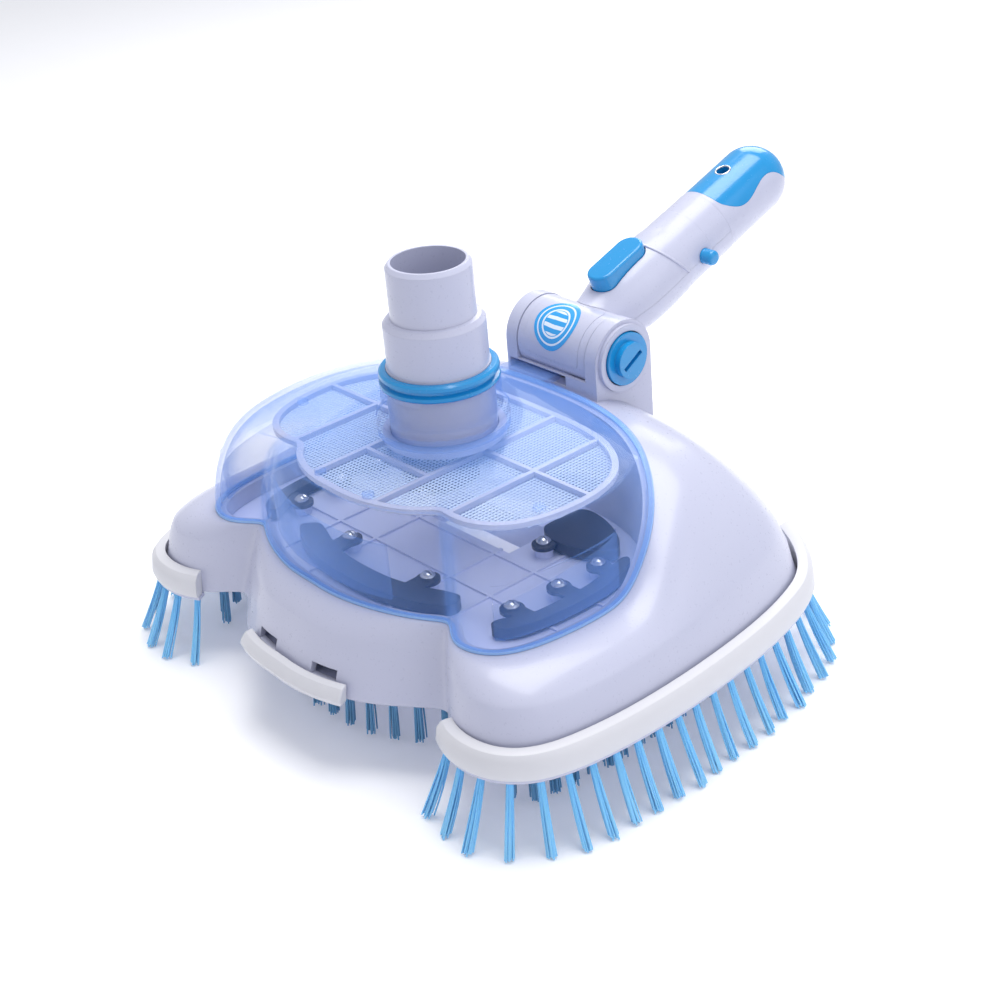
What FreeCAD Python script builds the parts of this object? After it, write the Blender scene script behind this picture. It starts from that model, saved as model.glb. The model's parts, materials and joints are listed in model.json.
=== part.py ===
"""Manual pool vacuum head: a three-lobed weighted housing with a clear lid, side brushes, a swivelling stepped
hose cuff and a hinged pole handle with snap pins.

Frame: +X is the head's right, +Y runs to the back where the handle hinges, +Z is up, and the floor is z = 0.
Sizes are in millimetres. Everything is laid out with the hose axis at x = y = 0, then moved so that the origin
is under the middle of the whole assembly.
"""
import FreeCAD, Part
import math
import os

V = FreeCAD.Vector

# ---- driving dimensions -------------------------------------------------------------------------------------
SKIRT_Z = 28.0            # lower edge of the housing
EDGE_Z = 48.5             # where the side wall rounds over into the top
RIM_Z = 57.0              # lid seat at the front and sides
RIM_BACK_Z = 94.0         # lid seat where it meets the hinge bracket
WALL = 2.4                # housing wall
CROWN_STEPS = 14          # bands that make up the rounded top
LID_STEPS = 9
LEDGE = 4.6               # width of the ledge that the lid sits on
WALL_DRAFT = 6.5          # how far the side wall leans in over its height
FLOOR_Z = 50.0            # top of the chamber floor
FLOOR_T = 3.0
LID_T = 2.0               # clear lid wall
LID_SHOULDER_Z = 95.0     # where the lid turns over into its flat top
LID_TOP_Z = 103.0         # lid top beside the neck
NECK_R = 23.4
NECK_BORE_R = 20.2
NECK_TOP_Z = 116.4
CUFF_LARGE_R = 19.05      # takes a 1-1/2 inch hose
CUFF_SMALL_R = 15.9       # takes a 1-1/4 inch hose
CUFF_BORE_R = 13.6
CUFF_COLLAR_R = 19.5      # journal that the swivel ring runs on
CUFF_COLLAR_Z = 123.4     # the large step starts here, just above the ring
CUFF_BASE_Z = 97.0
CUFF_STEP_Z = 140.0
CUFF_TOP_Z = 163.0
RUN = 0.08                # radial running clearance
FILTER_Z = 90.0           # underside of the strainer
FILTER_T = 2.0
HINGE_Y = 70.0            # handle pivot
HINGE_Z = 107.0
BARREL_R = 15.0
BRACKET_HALF = 25.0
EAR_T = 6.0              # the ears that carry the hinge
DRUM_R = 14.7            # handle drum between the ears
HANDLE_TILT = 19.5        # degrees above level at rest
HANDLE_R = 14.6
HANDLE_BASE_R = 14.8      # the handle tapers in small steps, so that a pole starts easily and ends snug
HANDLE_NOSE_R = 14.4
HANDLE_END = 123.5        # pivot to the tip
PIN_AT = 62.0             # pivot to the snap pins
PIN_R = 3.1
BUTTON_AT = 30.5
TUFT_SPLAY = 10.0
BUMPER_H = 9.5
NOSE_BUMPER_H = 6.5
BUMPER_T = 5.0

# Half outlines, front centre to back centre, seen from above.
SKIRT = [(0, -83), (20, -81.5), (37, -75.5), (50, -67), (59, -61), (65, -62.5), (74, -70), (87, -74),
         (101, -71.5), (111, -61.5), (116, -45), (118.3, -24), (118.5, 0), (117, 24), (114, 47), (108.5, 69),
         (99, 86), (80, 97), (53, 102.5), (26, 104.5), (0, 105)]
RIM = [(0, -66), (18, -65), (34, -61), (46, -56), (53.5, -52), (58, -53), (65, -57.5), (74, -58.5),
       (83, -54), (89, -44), (92, -30), (93, -14), (92, 1), (88, 15), (81, 27), (71, 37),
       (58, 45), (43, 50), (28, 52.3), (14, 53.2), (0, 53.5)]
SHOULDER = [(0, -58), (16, -57), (29, -53), (38, -48), (43.5, -43.5), (48, -43.5), (55, -44.5), (63, -42.5),
            (71, -36), (76.5, -26), (79.5, -14), (80.5, -1), (79, 11), (75, 22), (68.5, 31), (60, 38),
            (49, 43.5), (37, 47), (24.5, 48.7), (12.5, 49.2), (0, 49.5)]
STRAINER = [(0, -53), (15, -52), (27, -48.5), (35, -44), (40.5, -39.5), (45, -39), (52, -39), (60, -36.5),
            (67.5, -30.5), (72.5, -21.5), (75, -11), (75.5, 0), (74, 10), (70.5, 19), (64.5, 26.5), (56.5, 32.5),
            (46.5, 37), (35.5, 39.5), (24, 40.7), (12, 41.2), (0, 41.5)]

parts = {}


# ---- outline helpers ----------------------------------------------------------------------------------------
def mirrored(half):
    """A full closed outline from its right half."""
    left = [(-x, y) for x, y in reversed(half[1:-1])]
    return list(half) + left


def spline(points, closed=True):
    curve = Part.BSplineCurve()
    count = len(points) + (1 if closed else 0)
    curve.interpolate(Points=points, PeriodicFlag=closed, Parameters=[float(i) for i in range(count)])
    return curve


def inward(outline, target, distance):
    """The outline moved towards the matching points of another one."""
    moved = []
    for (x, y), (tx, ty) in zip(outline, target):
        length = math.hypot(tx - x, ty - y) or 1.0
        share = distance / length
        moved.append((x + (tx - x) * share, y + (ty - y) * share))
    return moved


def between(a, b, share):
    return [(x + (u - x) * share, y + (v - y) * share) for (x, y), (u, v) in zip(a, b)]


def ring(half, heights):
    """A closed edge through the mirrored half outline, at one height or one height per point."""
    if not isinstance(heights, (list, tuple)):
        heights = [heights] * len(half)
    both = list(heights) + list(reversed(heights[1:-1]))
    points = [V(x, y, z) for (x, y), z in zip(mirrored(half), both)]
    return spline(points).toShape()


def solid_of(faces):
    shell = Part.makeShell(faces)
    shell.sewShape()
    solid = Part.makeSolid(shell)
    if solid.Volume < 0:
        solid.reverse()
    return solid


def closed_rings(edges):
    """A hollow ring solid whose section runs through the edges in turn and back to the first."""
    faces = [Part.makeRuledSurface(a, b) for a, b in zip(edges, edges[1:] + edges[:1])]
    return solid_of(faces)


def plate(half, z, thickness):
    edge = ring(half, z)
    return Part.Face(Part.Wire([edge])).extrude(V(0, 0, thickness))


def inset_half(half, distance):
    """The half outline moved inwards by a distance, square to itself."""
    curve = spline([V(x, y, 0) for x, y in mirrored(half)])
    moved = []
    for i, (x, y) in enumerate(half):
        t = curve.tangent(float(i))[0]
        moved.append((x - t.y * distance, y + t.x * distance))
    moved[0] = (0, moved[0][1])
    moved[-1] = (0, moved[-1][1])
    return moved


def along(half, start, stop, count, outward):
    """Points spread evenly along a stretch of the outline, moved outwards, with their outward directions."""
    curve = spline([V(x, y, 0) for x, y in mirrored(half)])
    samples = [start + (stop - start) * i / 400.0 for i in range(401)]
    places = [curve.value(s) for s in samples]
    run = [0.0]
    for a, b in zip(places, places[1:]):
        run.append(run[-1] + a.distanceToPoint(b))
    found = []
    for k in range(count):
        goal = run[-1] * k / (count - 1)
        i = max(j for j in range(401) if run[j] <= goal + 1e-9)
        t = curve.tangent(samples[i])[0]
        normal = V(t.y, -t.x, 0)
        found.append((places[i] + normal * outward, normal))
    return found


def band(half, start, stop, section, count=26):
    """A strip that follows the outline. Its section is a list of (outward, z) corners."""
    curves = []
    for out, z in section:
        points = [p + V(0, 0, z) for p, _ in along(half, start, stop, count, out)]
        curves.append(spline(points, False).toShape())
    faces = [Part.makeRuledSurface(a, b) for a, b in zip(curves, curves[1:] + curves[:1])]
    for end in (0, -1):
        corners = [c.Vertexes[end].Point for c in curves]
        faces.append(Part.Face(Part.makePolygon(corners + corners[:1])))
    return solid_of(faces)


def mirror_x(shape):
    return shape.mirror(V(0, 0, 0), V(1, 0, 0))


def cylinder(radius, length, base, axis=V(0, 0, 1)):
    return Part.makeCylinder(radius, length, base, axis)


def tube(outer, inner, length, base, axis=V(0, 0, 1)):
    return cylinder(outer, length, base, axis).cut(cylinder(inner, length + 2, base - axis, axis))


def box(x0, y0, z0, x1, y1, z1):
    return Part.makeBox(x1 - x0, y1 - y0, z1 - z0, V(x0, y0, z0))


def turned(profile):
    """A solid turned about a vertical axis from (radius, z) corners."""
    points = [V(r, 0, z) for r, z in profile]
    face = Part.Face(Part.makePolygon(points + points[:1]))
    return face.revolve(V(0, 0, 0), V(0, 0, 1), 360)


# ---- housing ------------------------------------------------------------------------------------------------
def rim_heights(lift=0.0):
    """Height of the lid seat at each outline point: level to the middle, then climbing to the bracket."""
    heights = []
    for _, y in RIM:
        share = max(0.0, min(1.0, (y + 4.0) / 57.0))
        heights.append(RIM_Z + (RIM_BACK_Z - RIM_Z) * (1 - math.cos(share * math.pi * 0.5)) ** 0.62 + lift)
    return heights


def housing_sections():
    """Outer half outlines of the housing with their heights, from the skirt up to the lid seat."""
    edge = inward(SKIRT, RIM, WALL_DRAFT)
    seat = rim_heights()
    sections = [(SKIRT, [SKIRT_Z] * len(SKIRT)),
                (inward(SKIRT, RIM, WALL_DRAFT * 0.45), [SKIRT_Z + 9.0] * len(SKIRT)),
                (inward(SKIRT, RIM, WALL_DRAFT * 0.75), [EDGE_Z - 3.5] * len(SKIRT)),
                (edge, [EDGE_Z] * len(SKIRT))]
    for step in range(1, CROWN_STEPS + 1):
        share = (step / CROWN_STEPS) ** 1.6
        rise = math.sin(share * math.pi / 2) ** 0.75
        sections.append((between(edge, RIM, share), [EDGE_Z + (z - EDGE_Z) * rise for z in seat]))
    return sections


def make_top_shell():
    """The upper moulding: outer skin, the ledge under the lid and the wall of the debris chamber."""
    outer = housing_sections()
    rings = [ring(half, z) for half, z in outer]
    seat = rim_heights()
    ledge, inside = inset_half(RIM, LEDGE), inset_half(RIM, LEDGE - 2.0)
    rings.append(ring(ledge, seat))
    rings.append(ring(ledge, FLOOR_Z + 0.1))
    rings.append(ring(inside, FLOOR_Z + 0.1))
    rings.append(ring(inside, [z - 2.4 for z in seat]))
    for i, (half, heights) in reversed(list(enumerate(outer[:-1]))):
        drop = WALL * min(1.0, i / 4.0)
        rings.append(ring(inward(half, RIM, WALL), [z - drop for z in heights]))
    slot_z = SKIRT_Z + NOSE_BUMPER_H - 2.0
    slots = [box(x - 6.0, -90, slot_z, x + 6.0, -72, slot_z + 4.4) for x in (-17, 17)]
    return closed_rings(rings).cut(slots)


def make_gasket():
    """Soft seal between the lid's foot and its seat."""
    section = []
    for out, lift in ((-0.3, 0.15), (-0.3, 1.05), (-2.4, 1.05), (-2.4, 0.15)):
        section.append(ring(inset_half(RIM, -out), rim_heights(lift)))
    return closed_rings(section)


def make_base_plate():
    half = inset_half(RIM, LEDGE - 2.0)
    floor = plate(half, FLOOR_Z - FLOOR_T, FLOOR_T)
    clip = plate(inset_half(RIM, 7.0), FLOOR_Z - 1, 3)
    bars = []
    for y in (-22, 0, 22):
        bars.append(box(-90, y - 0.6, FLOOR_Z - 0.5, 90, y + 0.6, FLOOR_Z + 0.8))
    for x in (-44, -22, 22, 44):
        bars.append(box(x - 0.6, -60, FLOOR_Z - 0.5, x + 0.6, 60, FLOOR_Z + 0.8))
    grid = bars[0].fuse(bars[1:]).common(clip)
    duct = box(-INLET_X, -INLET_Y0, SKIRT_Z + 1, INLET_X, INLET_Y1, FLOOR_Z - FLOOR_T + 0.5)
    duct = duct.cut(box(-INLET_X + 2.4, -INLET_Y0 + 2.4, 0, INLET_X - 2.4, INLET_Y1 - 2.4, FLOOR_Z - FLOOR_T))
    body = floor.fuse([grid, duct])
    body = body.cut(box(-26, 4, FLOOR_Z - 10, 26, 26, FLOOR_Z + 10))
    bosses = [cylinder(3.4, FLOOR_T + 3.5, V(x, y, FLOOR_Z - FLOOR_T)) for x, y in SCREW_PLACES]
    return body.fuse(bosses).cut([cylinder(1.5, 30, V(x, y, FLOOR_Z - 8)) for x, y in SCREW_PLACES])


INLET_X = 44.0
INLET_Y0 = 40.0
INLET_Y1 = 36.0
RIGHT_SCREWS = [(23, -33), (62, -27), (64, -6), (64, 14), (37, 12)]
SCREW_PLACES = RIGHT_SCREWS + [(-x, y) for x, y in RIGHT_SCREWS]


def make_underside_frame():
    """Flat ring that closes the skirt and carries the brush backings."""
    outer = plate(inset_half(SKIRT, 4.0), SKIRT_Z + 1.0, 2.4)
    hole = box(-INLET_X - 0.3, -INLET_Y0 - 0.3, 0, INLET_X + 0.3, INLET_Y1 + 0.3, 60)
    return outer.cut(hole)


# ---- bumpers and brushes ------------------------------------------------------------------------------------
WING = (6.1, 17.0)        # stretch of the outline that the side bumper covers, in outline points
NOSE = (-1.5, 1.5)


def make_bumper(span, height):
    """A soft-edged rail along the foot of the housing, a hair clear of the leaning wall."""
    low, high = SKIRT_Z - 0.5, SKIRT_Z - 0.5 + height
    section = [(0.6, low), (BUMPER_T - 0.6, low), (BUMPER_T, low + 2.0), (BUMPER_T - 0.8, high - 2.6),
               (BUMPER_T - 2.6, high - 0.5), (BUMPER_T - 4.6, high), (0.6 - 0.24 * (height - 0.5), high)]
    return band(SKIRT, span[0], span[1], section)


def make_backing(half, span, out, width, top):
    return band(half, span[0], span[1], [(out - width / 2, top - 1.6), (out + width / 2, top - 1.6),
                                         (out + width / 2, top), (out - width / 2, top)])


def tuft(root, normal, splay, root_z, tip_z, spread):
    foot = root + normal * splay
    low = Part.Wire([Part.Circle(V(foot.x, foot.y, tip_z), V(0, 0, 1), spread).toShape()])
    high = Part.Wire([Part.Circle(V(root.x, root.y, root_z), V(0, 0, 1), 1.2).toShape()])
    return Part.makeLoft([low, high], True, True)


def make_tufts(half, span, out, count, splay, tip_z, root_z):
    places = along(half, span[0], span[1], count, out)
    return Part.makeCompound([tuft(p, n, splay, root_z, tip_z, 2.0) for p, n in places])


# ---- clear lid ----------------------------------------------------------------------------------------------
def lid_sections(shrink):
    """Half outlines of the lid with their heights, from its foot up to the neck. shrink gives the inner skin."""
    seat = rim_heights(1.25)
    foot = inset_half(RIM, 0.6 + shrink)
    shoulder = inset_half(SHOULDER, shrink)
    sections = [(foot, seat)]
    for step in range(1, LID_STEPS):
        turn = math.pi / 2 * step / LID_STEPS
        half = between(foot, shoulder, (1 - math.cos(turn)) ** 0.9)
        heights = [z + (max(LID_SHOULDER_Z, z + 2.0) - shrink * 0.7 - z) * math.sin(turn) for z in seat]
        sections.append((half, heights))
    top = LID_TOP_Z - shrink
    shoulder_z = [max(LID_SHOULDER_Z, z + 2.0) - shrink for z in seat]
    sections.append((shoulder, shoulder_z))
    count = len(SKIRT) - 1
    circle = [(NECK_R * math.sin(math.pi * i / count), -NECK_R * math.cos(math.pi * i / count))
              for i in range(count + 1)]
    for step in range(1, LID_STEPS + 1):
        share = (step / LID_STEPS) ** 1.5
        rise = 1 - (1 - share) ** 3
        sections.append((between(shoulder, circle, share), [z + (top - z) * rise for z in shoulder_z]))
    return sections


def make_lid():
    outer = [ring(half, z) for half, z in lid_sections(0)]
    inner = [ring(half, z) for half, z in lid_sections(LID_T)]
    skin = closed_rings(outer + inner[::-1])
    neck = turned([(NECK_BORE_R, LID_TOP_Z - LID_T - 3.0), (NECK_R + 1.6, LID_TOP_Z - LID_T - 3.0),
                   (NECK_R + 1.6, LID_TOP_Z + 1.6), (NECK_R + 0.9, LID_TOP_Z + 2.6), (NECK_R - 0.6, LID_TOP_Z + 3.2),
                   (NECK_R - 1.0, NECK_TOP_Z), (NECK_BORE_R, NECK_TOP_Z)])
    tab = box(TAB_LEFT, LID_PIVOT_Y - 10, LID_PIVOT_Z - BEAD_R, TAB_RIGHT, LID_PIVOT_Y, LID_PIVOT_Z + BEAD_R)
    bead = cylinder(BEAD_R, TAB_RIGHT - TAB_LEFT, V(TAB_LEFT, LID_PIVOT_Y, LID_PIVOT_Z), V(1, 0, 0))
    return skin.fuse([neck, tab, bead] + make_curtains())


LID_PIVOT_Y = 56.0        # the lid rocks on the round bead at the end of its rear tab
LID_PIVOT_Z = 97.6
BEAD_R = 1.1
TAB_LEFT, TAB_RIGHT = -22.0, 3.0


def make_curtains():
    """Inner walls of the lid that keep debris off the seal: one behind the nose and one behind each lobe."""
    half = inset_half(RIM, LEDGE + 0.8)
    low, high = RIM_Z + 2.6, RIM_Z + 24.0
    section = [(0.0, low), (0.0, high), (-1.4, high), (-1.4, low)]
    return [band(half, -3.2, 1.9, section), band(half, 8.0, 12.2, section), band(half, 40 - 12.2, 40 - 8.0, section)]


# ---- strainer -----------------------------------------------------------------------------------------------
def make_strainer():
    outline = plate(STRAINER, FILTER_Z, FILTER_T)
    inside = plate(inset_half(STRAINER, 2.6), FILTER_Z - 1, FILTER_T + 2)
    frame = outline.cut(inside)
    top = FILTER_Z + FILTER_T
    bars = [box(-90, 2.1, FILTER_Z, 90, 3.9, top), box(-18, -24.9, FILTER_Z, 18, -23.1, top)]
    bars += [box(x - 0.9, -60, FILTER_Z, x + 0.9, 60, top) for x in (-45, -18, 18, 45)]
    bars = [b.common(plate(inset_half(STRAINER, 2.0), FILTER_Z, FILTER_T)) for b in bars]
    frame = frame.fuse(bars)
    mesh = plate(inset_half(STRAINER, 1.2), FILTER_Z - 0.55, 0.5)
    posts = [cylinder(2.2, 1.5, V(x, y, FILTER_Z + FILTER_T + 0.05)) for x, y in POST_PLACES]
    return frame, mesh, posts


POST_PLACES = [(68, -16), (-68, -16), (14, -48.5), (-14, -48.5)]


# ---- weights ------------------------------------------------------------------------------------------------
def slab(points, z, thickness):
    """A flat casting with a smooth closed outline."""
    return Part.Face(Part.Wire([spline([V(x, y, z) for x, y in points]).toShape()])).extrude(V(0, 0, thickness))


def make_weights():
    z, thickness = FLOOR_Z + 1.0, 4.5
    lift = FLOOR_Z + 3.6
    nose = slab([(-42, -43), (-22, -50.5), (0, -52.5), (22, -50.5), (42, -43), (44, -36), (38, -34.5), (20, -41),
                 (0, -43), (-20, -41), (-38, -34.5), (-44, -36)], z, thickness)
    ears = [cylinder(4.6, 1.4, V(x, -33, lift)) for x in (-23, 23)]
    ears += [box(x - 4, -42, lift, x + 4, -33, lift + 1.4) for x in (-23, 23)]
    nose = nose.fuse(ears)
    side = slab([(68, -40), (75, -30), (77.5, -12), (77, 6), (72, 22), (67.5, 22), (71, 6), (71.5, -12),
                 (69.5, -27), (64.5, -36)], z, thickness)
    tabs = [cylinder(4.6, 1.4, V(x, y, lift)) for x, y in ((62, -27), (64, -6), (64, 14))]
    tabs += [box(x, y - 3.5, lift, x + 8, y + 3.5, lift + 1.4) for x, y in ((62, -27), (64, -6), (64, 14))]
    side = side.fuse(tabs)
    rear = slab([(31, 18), (44, 15.5), (56, 20), (61, 27), (52, 35), (38, 40), (29, 38), (28, 27)], z, thickness)
    rear = rear.fuse([cylinder(4.6, 1.4, V(37, 12, lift)), box(33.5, 12, lift, 40.5, 19, lift + 1.4)])
    drilled = [cylinder(3.5, 3.0, V(x, y, FLOOR_Z - 0.2 + 0.75)) for x, y in SCREW_PLACES]
    holes = [cylinder(1.8, 20, V(x, y, FLOOR_Z)) for x, y in SCREW_PLACES]
    return [s.cut(drilled + holes) for s in (nose, side, rear)]


def make_screws(places, head_z, head_r=2.9, length=9.0):
    found = []
    for x, y in places:
        head = cylinder(head_r, 1.2, V(x, y, head_z))
        dome = Part.makeSphere(head_r + 0.6, V(x, y, head_z + 1.2 - 2.0)).common(
            cylinder(head_r, 3.0, V(x, y, head_z + 1.2)))
        slot = box(x - head_r, y - 0.35, head_z + 1.9, x + head_r, y + 0.35, head_z + 4)
        found.append(head.fuse([dome, cylinder(1.45, length, V(x, y, head_z - length))]).cut(slot))
    return Part.makeCompound(found)


# ---- hose cuff ----------------------------------------------------------------------------------------------
def make_cuff():
    return turned([(CUFF_BORE_R + 2.0, CUFF_BASE_Z), (NECK_BORE_R - RUN, CUFF_BASE_Z),
                   (NECK_BORE_R - RUN, CUFF_BASE_Z + 15.0), (CUFF_COLLAR_R, CUFF_BASE_Z + 16.0),
                   (CUFF_COLLAR_R, CUFF_COLLAR_Z), (CUFF_LARGE_R, CUFF_COLLAR_Z),
                   (CUFF_LARGE_R, CUFF_STEP_Z), (CUFF_LARGE_R - 1.6, CUFF_STEP_Z + 1.8),
                   (CUFF_SMALL_R, CUFF_STEP_Z + 2.2), (CUFF_SMALL_R, CUFF_TOP_Z - 1.6),
                   (CUFF_SMALL_R - 1.3, CUFF_TOP_Z), (CUFF_BORE_R, CUFF_TOP_Z),
                   (CUFF_BORE_R, CUFF_STEP_Z - 2.0), (CUFF_BORE_R + 2.0, CUFF_STEP_Z - 5.0)])


def make_swivel_ring():
    """Grooved ring that holds the cuff in the neck."""
    low, high = NECK_TOP_Z + 0.05, NECK_TOP_Z + 6.4
    bore = CUFF_COLLAR_R + RUN
    outer = NECK_R - 0.8
    return turned([(bore, low), (outer - 0.6, low), (outer, low + 0.8), (outer - 0.2, low + 1.8),
                   (outer - 1.7, low + 2.6), (outer - 1.7, low + 3.6), (outer - 0.1, low + 4.3),
                   (outer - 0.3, low + 5.6), (outer - 1.2, high), (bore, high)])


def make_retainer():
    """Snap ring under the cuff that stops it lifting out."""
    return turned([(CUFF_BORE_R + 2.0, CUFF_BASE_Z - 2.4), (NECK_BORE_R + 3.0, CUFF_BASE_Z - 2.4),
                   (NECK_BORE_R + 3.0, LID_TOP_Z - LID_T - 3.1), (NECK_BORE_R + 0.1, LID_TOP_Z - LID_T - 3.1),
                   (NECK_BORE_R + 0.1, CUFF_BASE_Z - 0.1), (CUFF_BORE_R + 2.0, CUFF_BASE_Z - 0.1)])


# ---- hinge bracket ------------------------------------------------------------------------------------------
X = V(1, 0, 0)
PIVOT = V(0, HINGE_Y, HINGE_Z)


def across(radius, x0, x1):
    """A round bar along X on the pivot axis."""
    return cylinder(radius, x1 - x0, V(x0, HINGE_Y, HINGE_Z), X)


def make_bracket():
    """The post on the housing, with two ears that carry the handle's drum."""
    front, back = HINGE_Y - BARREL_R, HINGE_Y + BARREL_R
    gap = BRACKET_HALF - EAR_T
    body = box(-BRACKET_HALF, front, 60, BRACKET_HALF, back, HINGE_Z).fuse([
        across(BARREL_R, -BRACKET_HALF, BRACKET_HALF),
        across(BARREL_R - 1.6, BRACKET_HALF, BRACKET_HALF + 1.6),
        across(BARREL_R - 1.6, -BRACKET_HALF - 1.6, -BRACKET_HALF)])
    saddle = [across(BARREL_R + 0.3, -gap, gap),
              box(-gap, front - 5, HINGE_Z - 7, gap, back + 8, HINGE_Z + 30),
              box(-gap, HINGE_Y + 3, HINGE_Z - 15.2, gap, back + 8, HINGE_Z + 30)]
    hollow = box(-BRACKET_HALF + 3, front + 3, 50, BRACKET_HALF - 3, back - 3, HINGE_Z - 18.5)
    slot = box(TAB_LEFT - 1.5, front - 2, LID_PIVOT_Z - 2.3, TAB_RIGHT + 5.0, front + 5.2, LID_PIVOT_Z + 1.9)
    bores = [across(4.1, -40, 40), across(10.9, BRACKET_HALF - 3.0, 40), across(10.9, -40, -BRACKET_HALF + 3.0)]
    return body.cut(saddle + [hollow, slot] + bores)


def make_drum():
    """The handle's hinge drum, recessed from both ends."""
    half = BRACKET_HALF - EAR_T - 0.35
    drum = across(DRUM_R, -half, half)
    rings = [across(12.0, 3.0, 40).cut(across(6.4, 0, 41)), across(12.0, -40, -3.0).cut(across(6.4, -41, 0))]
    return drum.cut(rings + [across(4.1, -40, 40)])


def make_knob():
    """Coin-slotted bolt head that clamps the hinge, on the right side."""
    inner = BRACKET_HALF - 2.9
    disc = across(10.5, inner, BRACKET_HALF + 2.6)
    boss = across(7.2, BRACKET_HALF + 2.6, BRACKET_HALF + 5.4)
    slot = box(BRACKET_HALF + 3.6, HINGE_Y - 5.2, HINGE_Z - 0.9, BRACKET_HALF + 9, HINGE_Y + 5.2, HINGE_Z + 0.9)
    slot.rotate(PIVOT, X, 30)
    stem = across(4.0, 1.0, inner)
    return disc.fuse([boss, stem]).cut(slot)


def make_badge():
    """Plain round sticker on the front of the drum."""
    shell = across(DRUM_R + 0.3, -18, 18).cut(across(DRUM_R + 0.02, -40, 40))
    aim = V(0, -math.cos(math.radians(48)), math.sin(math.radians(48)))
    return shell.common(cylinder(10.4, 30, PIVOT + V(-1, 0, 0), aim))


# ---- handle, laid along +Y from the pivot and then tilted ------------------------------------------------------
def tilt(shape):
    moved = shape.copy()
    moved.rotate(V(0, 0, 0), X, HANDLE_TILT)
    moved.translate(PIVOT)
    return moved


def handle_profile(grow):
    """The handle's outer body. grow below 0 gives the hollow."""
    neck = Part.makeLoft([circle_wire(y, r + grow) for y, r in
                          ((6, 12.4), (16, 12.6), (22, 14.0), (34, 15.6), (46, 15.5), (56, HANDLE_BASE_R))],
                         True, False)
    tip_y = HANDLE_END - HANDLE_NOSE_R
    starts = (55.5, LAND_AT, SPLIT_AT)
    ends = (LAND_AT, SPLIT_AT, tip_y)
    lands = [cylinder(radius + grow, end - start, V(0, start, 0), V(0, 1, 0))
             for radius, start, end in zip((HANDLE_BASE_R, HANDLE_R, HANDLE_NOSE_R), starts, ends)]
    tip = Part.makeSphere(HANDLE_NOSE_R + grow, V(0, tip_y, 0))
    return neck.fuse(lands + [tip])


def circle_wire(y, radius):
    return Part.Wire([Part.Circle(V(0, y, 0), V(0, 1, 0), radius).toShape()])


def make_handle():
    """Upper shell, lower shell and end cap. The shells split at mid height as far as the cap."""
    outer = handle_profile(0)
    post = cylinder(4.6, 60, V(0, HANG_AT, -30)).common(outer)
    shell = outer.cut(handle_profile(-2.2)).fuse(post)
    shell = shell.cut([cylinder(DRUM_R + 0.05, 60, V(-30, 0, 0), X), cylinder(HANG_R, 60, V(0, HANG_AT, -30)),
                       cylinder(PIN_R + 0.08, 60, V(-30, PIN_AT, 0), X), rounded_slot(12.5, 28.5, 60, 4.0)])
    cap_zone = cap_region()
    cap = shell.common(cap_zone)
    rest = shell.cut(cap_zone)
    upper = rest.common(box(-40, -40, 0.02, 40, SPLIT_AT - 0.05, 40))
    lower = rest.cut(box(-40, -40, -0.02, 40, SPLIT_AT, 40))
    return upper, lower, cap


LAND_AT = 66.5
SPLIT_AT = 79.0
HANG_AT = 96.5
HANG_R = 2.7


def cap_region():
    """The space that the coloured end cap fills: a curved cut that dips over the handle's top and round its tip."""
    wave = [(80, 40), (80.5, 15), (83, 9.0), (88, 5.4), (94, 4.6), (100, 6.2), (106, 7.4), (112, 5.2),
            (117.5, -2.0), (120.5, -9), (121.5, -40)]
    corners = [wave[-1], (160, -40), (160, 40), wave[0]]
    curve = spline([V(-40, y, z) for y, z in wave], False).toShape()
    rest = Part.makePolygon([V(-40, y, z) for y, z in corners])
    return Part.Face(Part.Wire([curve] + rest.Edges)).extrude(V(80, 0, 0))


def rounded_slot(width, length, height, base):
    """An upright bar with round ends, centred on the button."""
    half = (length - width) / 2
    bar = Part.makeBox(width, 2 * half, height, V(-width / 2, BUTTON_AT - half, base))
    ends = [cylinder(width / 2, height, V(0, BUTTON_AT + s * half, base)) for s in (-1, 1)]
    return bar.fuse(ends).removeSplitter()


def make_button():
    cap = rounded_slot(11.8, 27.8, 14.0, 4.8)
    tops = [e for e in cap.Edges if min(v.Z for v in e.Vertexes) > 18.0]
    return cap.makeFillet(1.1, tops)


def make_snap_pin():
    """Right-hand pole lock pin with its flange."""
    body = cylinder(PIN_R, 13.4, V(7.0, PIN_AT, 0), X)
    body = body.makeFillet(1.8, [e for e in body.Edges if e.BoundBox.XMin > 20])
    flange = tube(4.4, PIN_R - 0.4, 1.4, V(8.0, PIN_AT, 0), X)
    return body.fuse(flange)


def make_pin_spring():
    """Leaf spring bent to a V behind the snap pins."""
    tip, end = PIN_AT - 14, PIN_AT - 5
    strip = [V(8.4, end, -2.5), V(8.4, end - 2, -2.5), V(0, tip, -2.5), V(-8.4, end - 2, -2.5), V(-8.4, end, -2.5),
             V(-7.7, end, -2.5), V(-7.7, end - 1.6, -2.5), V(0, tip + 1.0, -2.5), V(7.7, end - 1.6, -2.5),
             V(7.7, end, -2.5)]
    return Part.Face(Part.makePolygon(strip + strip[:1])).extrude(V(0, 0, 5.0))


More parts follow.
